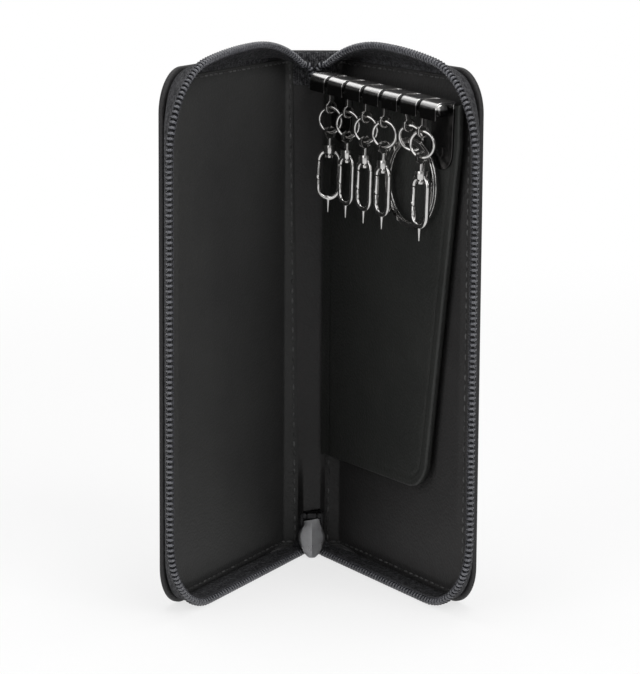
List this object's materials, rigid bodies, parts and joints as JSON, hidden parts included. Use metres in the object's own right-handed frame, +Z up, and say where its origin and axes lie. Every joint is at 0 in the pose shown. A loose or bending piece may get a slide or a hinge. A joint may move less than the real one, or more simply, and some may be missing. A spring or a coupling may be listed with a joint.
{
  "type": "key case",
  "caption": "Zip-around leather key case that opens like a book, with an inner page whose rail carries swinging hooks, swivel clasps and a split ring.",
  "frame": {"origin": "middle of the spine's foot, on the surface that the case stands on", "axes": "+Z up along the spine, +X to the right seen from the opening, -Y out of the opening"},
  "size_m": [0.0738, 0.0672, 0.1286],
  "materials": {
    "outer_leather": "smooth matte black leather with a fine grain",
    "lining_leather": "soft matte charcoal leather",
    "page_leather": "smooth matte black leather",
    "board": "grey-brown stiffening board, hidden",
    "zip_tape": "charcoal woven zip tape",
    "zip_coil": "dark grey satin nylon",
    "slider_metal": "black enamelled metal",
    "puller_metal": "satin light grey metal",
    "rail_metal": "bright black nickel",
    "ring_metal": "bright black nickel",
    "clasp_metal": "bright black nickel"
  },
  "bodies": {
    "spine": {"spine_shell": "outer_leather", "spine_lining": "lining_leather", "zip_top_stop": "zip_coil", "zip_slider": "slider_metal"},
    "left_cover": {"left_shell": "outer_leather", "left_board": "board", "left_lining": "lining_leather", "left_tape": "zip_tape", "left_coil": "zip_coil"},
    "right_cover": {"right_shell": "outer_leather", "right_board": "board", "right_lining": "lining_leather", "right_tape": "zip_tape", "right_coil": "zip_coil"},
    "page_root": {"page_root": "page_leather"},
    "page": {"key_page": "page_leather", "key_page_back": "page_leather", "hook_rail": "rail_metal", "rail_rod": "rail_metal", "rail_rivets": "rail_metal"},
    "puller": {"zip_puller": "puller_metal"},
    "hook_1": {"hook_1": "ring_metal"},
    "hook_2": {"hook_2": "ring_metal"},
    "hook_3": {"hook_3": "ring_metal"},
    "hook_4": {"hook_4": "ring_metal"},
    "hook_5": {"hook_5": "ring_metal"},
    "hook_6": {"hook_6": "ring_metal"},
    "jump_ring_1": {"jump_ring_1": "ring_metal"},
    "jump_ring_2": {"jump_ring_2": "ring_metal"},
    "jump_ring_3": {"jump_ring_3": "ring_metal"},
    "jump_ring_4": {"jump_ring_4": "ring_metal"},
    "jump_ring_5": {"jump_ring_5": "ring_metal"},
    "jump_ring_6": {"jump_ring_6": "ring_metal"},
    "swivel_1": {"swivel_1": "clasp_metal"},
    "clasp_1": {"clasp_1": "clasp_metal"},
    "gate_1": {"gate_1": "clasp_metal"},
    "swivel_2": {"swivel_2": "clasp_metal"},
    "clasp_2": {"clasp_2": "clasp_metal"},
    "gate_2": {"gate_2": "clasp_metal"},
    "swivel_3": {"swivel_3": "clasp_metal"},
    "clasp_3": {"clasp_3": "clasp_metal"},
    "gate_3": {"gate_3": "clasp_metal"},
    "swivel_4": {"swivel_4": "clasp_metal"},
    "clasp_4": {"clasp_4": "clasp_metal"},
    "gate_4": {"gate_4": "clasp_metal"},
    "swivel_6": {"swivel_6": "clasp_metal"},
    "clasp_6": {"clasp_6": "clasp_metal"},
    "gate_6": {"gate_6": "clasp_metal"},
    "split_ring": {"split_ring": "ring_metal"}
  },
  "joints": [
    {"name": "left_cover_fold", "type": "hinge", "parent": "spine", "child": "left_cover", "pos_m": [-0.008, 0, 0], "axis": [0, 0, -1], "range_deg": [-27, 28]},
    {"name": "right_cover_fold", "type": "hinge", "parent": "spine", "child": "right_cover", "pos_m": [0.008, 0, 0], "axis": [0, 0, 1], "range_deg": [-27, 28]},
    {"name": "page_root_fold", "type": "hinge", "parent": "spine", "child": "page_root", "pos_m": [0.003, -0.0025, 0], "axis": [0, 0, 1], "range_deg": [-27, 28]},
    {"name": "page_swing", "type": "hinge", "parent": "page_root", "child": "page", "pos_m": [0.00472, -0.00566, 0], "axis": [0, 0, -1], "range_deg": [0, 38]},
    {"name": "puller_swing", "type": "hinge", "parent": "spine", "child": "puller", "pos_m": [0, -0.00535, 0.0103], "axis": [-1, 0, 0], "range_deg": [0, 110]},
    {"name": "hook_1_swing", "type": "hinge", "parent": "page", "child": "hook_1", "pos_m": [0.00376, -0.0148, 0.11838], "axis": [-0.4767, 0.878, 0.0436], "range_deg": [0, 50]},
    {"name": "hook_2_swing", "type": "hinge", "parent": "page", "child": "hook_2", "pos_m": [0.00768, -0.02201, 0.11802], "axis": [-0.4767, 0.878, 0.0436], "range_deg": [0, 75]},
    {"name": "hook_3_swing", "type": "hinge", "parent": "page", "child": "hook_3", "pos_m": [0.01159, -0.02921, 0.11766], "axis": [-0.4767, 0.878, 0.0436], "range_deg": [0, 75]},
    {"name": "hook_4_swing", "type": "hinge", "parent": "page", "child": "hook_4", "pos_m": [0.0155, -0.03642, 0.1173], "axis": [-0.4767, 0.878, 0.0436], "range_deg": [0, 75]},
    {"name": "hook_5_swing", "type": "hinge", "parent": "page", "child": "hook_5", "pos_m": [0.01941, -0.04362, 0.11695], "axis": [-0.4767, 0.878, 0.0436], "range_deg": [0, 75]},
    {"name": "hook_6_swing", "type": "hinge", "parent": "page", "child": "hook_6", "pos_m": [0.02332, -0.05083, 0.11659], "axis": [-0.4767, 0.878, 0.0436], "range_deg": [0, 75]},
    {"name": "jump_ring_1_turn", "type": "hinge", "parent": "hook_1", "child": "jump_ring_1", "pos_m": [0.00358, -0.01447, 0.10959], "axis": [-0.5227, -0.8522, -0.0218], "continuous": true},
    {"name": "jump_ring_2_turn", "type": "hinge", "parent": "hook_2", "child": "jump_ring_2", "pos_m": [0.00749, -0.02167, 0.10923], "axis": [-0.5227, -0.8522, -0.0218], "continuous": true},
    {"name": "jump_ring_3_turn", "type": "hinge", "parent": "hook_3", "child": "jump_ring_3", "pos_m": [0.0114, -0.02888, 0.10887], "axis": [-0.5227, -0.8522, -0.0218], "continuous": true},
    {"name": "jump_ring_4_turn", "type": "hinge", "parent": "hook_4", "child": "jump_ring_4", "pos_m": [0.01532, -0.03608, 0.10851], "axis": [-0.5227, -0.8522, -0.0218], "continuous": true},
    {"name": "jump_ring_5_turn", "type": "hinge", "parent": "hook_5", "child": "jump_ring_5", "pos_m": [0.0211, -0.04228, 0.10842], "axis": [-0.5045, -0.8319, -0.2311], "continuous": true},
    {"name": "jump_ring_6_turn", "type": "hinge", "parent": "hook_6", "child": "jump_ring_6", "pos_m": [0.02314, -0.05049, 0.1078], "axis": [-0.5227, -0.8522, -0.0218], "continuous": true},
    {"name": "swivel_1_swing", "type": "hinge", "parent": "hook_1", "child": "swivel_1", "pos_m": [0.00352, -0.01435, 0.10659], "axis": [-0.4767, 0.878, 0.0436], "range_deg": [0, 60]},
    {"name": "clasp_1_spin", "type": "hinge", "parent": "swivel_1", "child": "clasp_1", "pos_m": [0.00352, -0.01435, 0.10659], "axis": [0.0208, -0.0383, 0.999], "continuous": true},
    {"name": "gate_1_press", "type": "hinge", "parent": "clasp_1", "child": "gate_1", "pos_m": [0.00091, -0.01357, 0.09922], "axis": [-0.1997, -0.9793, -0.0334], "range_deg": [0, 18], "stiffness_Nm_per_rad": 0.0005},
    {"name": "swivel_2_swing", "type": "hinge", "parent": "hook_2", "child": "swivel_2", "pos_m": [0.00743, -0.02156, 0.10623], "axis": [-0.4767, 0.878, 0.0436], "range_deg": [0, 60]},
    {"name": "clasp_2_spin", "type": "hinge", "parent": "swivel_2", "child": "clasp_2", "pos_m": [0.00743, -0.02156, 0.10623], "axis": [0.0208, -0.0383, 0.999], "continuous": true},
    {"name": "gate_2_press", "type": "hinge", "parent": "clasp_2", "child": "gate_2", "pos_m": [0.00593, -0.01917, 0.0989], "axis": [-0.8434, -0.5372, -0.003], "range_deg": [0, 18], "stiffness_Nm_per_rad": 0.0005},
    {"name": "swivel_3_swing", "type": "hinge", "parent": "hook_3", "child": "swivel_3", "pos_m": [0.01134, -0.02876, 0.10587], "axis": [-0.4767, 0.878, 0.0436], "range_deg": [0, 60]},
    {"name": "clasp_3_spin", "type": "hinge", "parent": "swivel_3", "child": "clasp_3", "pos_m": [0.01134, -0.02876, 0.10587], "axis": [0.0208, -0.0383, 0.999], "continuous": true},
    {"name": "gate_3_press", "type": "hinge", "parent": "clasp_3", "child": "gate_3", "pos_m": [0.00984, -0.02637, 0.09854], "axis": [-0.8434, -0.5372, -0.003], "range_deg": [0, 18], "stiffness_Nm_per_rad": 0.0005},
    {"name": "swivel_4_swing", "type": "hinge", "parent": "hook_4", "child": "swivel_4", "pos_m": [0.01525, -0.03597, 0.10552], "axis": [-0.4767, 0.878, 0.0436], "range_deg": [0, 60]},
    {"name": "clasp_4_spin", "type": "hinge", "parent": "swivel_4", "child": "clasp_4", "pos_m": [0.01525, -0.03597, 0.10552], "axis": [0.0208, -0.0383, 0.999], "range_deg": [-13, 8]},
    {"name": "gate_4_press", "type": "hinge", "parent": "clasp_4", "child": "gate_4", "pos_m": [0.01379, -0.03355, 0.09818], "axis": [-0.8527, -0.5225, -0.0023], "range_deg": [0, 18], "stiffness_Nm_per_rad": 0.0005},
    {"name": "swivel_6_swing", "type": "hinge", "parent": "hook_6", "child": "swivel_6", "pos_m": [0.02308, -0.05038, 0.1048], "axis": [-0.4767, 0.878, 0.0436], "range_deg": [0, 60]},
    {"name": "clasp_6_spin", "type": "hinge", "parent": "swivel_6", "child": "clasp_6", "pos_m": [0.02308, -0.05038, 0.1048], "axis": [0.0208, -0.0383, 0.999], "range_deg": [-16, 5]},
    {"name": "gate_6_press", "type": "hinge", "parent": "clasp_6", "child": "gate_6", "pos_m": [0.02151, -0.04803, 0.09746], "axis": [-0.8242, -0.5663, -0.0046], "range_deg": [0, 18], "stiffness_Nm_per_rad": 0.0005},
    {"name": "split_ring_turn", "type": "hinge", "parent": "hook_5", "child": "split_ring", "pos_m": [0.02121, -0.0417, 0.09786], "axis": [0.8788, 0.4772, 0], "continuous": true}
  ],
  "couplings": [
    {"joint": "page_root_fold", "follows": "right_cover_fold", "ratio": 1},
    {"joint": "hook_4_swing", "follows": "hook_5_swing", "ratio": 1},
    {"joint": "hook_6_swing", "follows": "hook_5_swing", "ratio": 1}
  ]
}
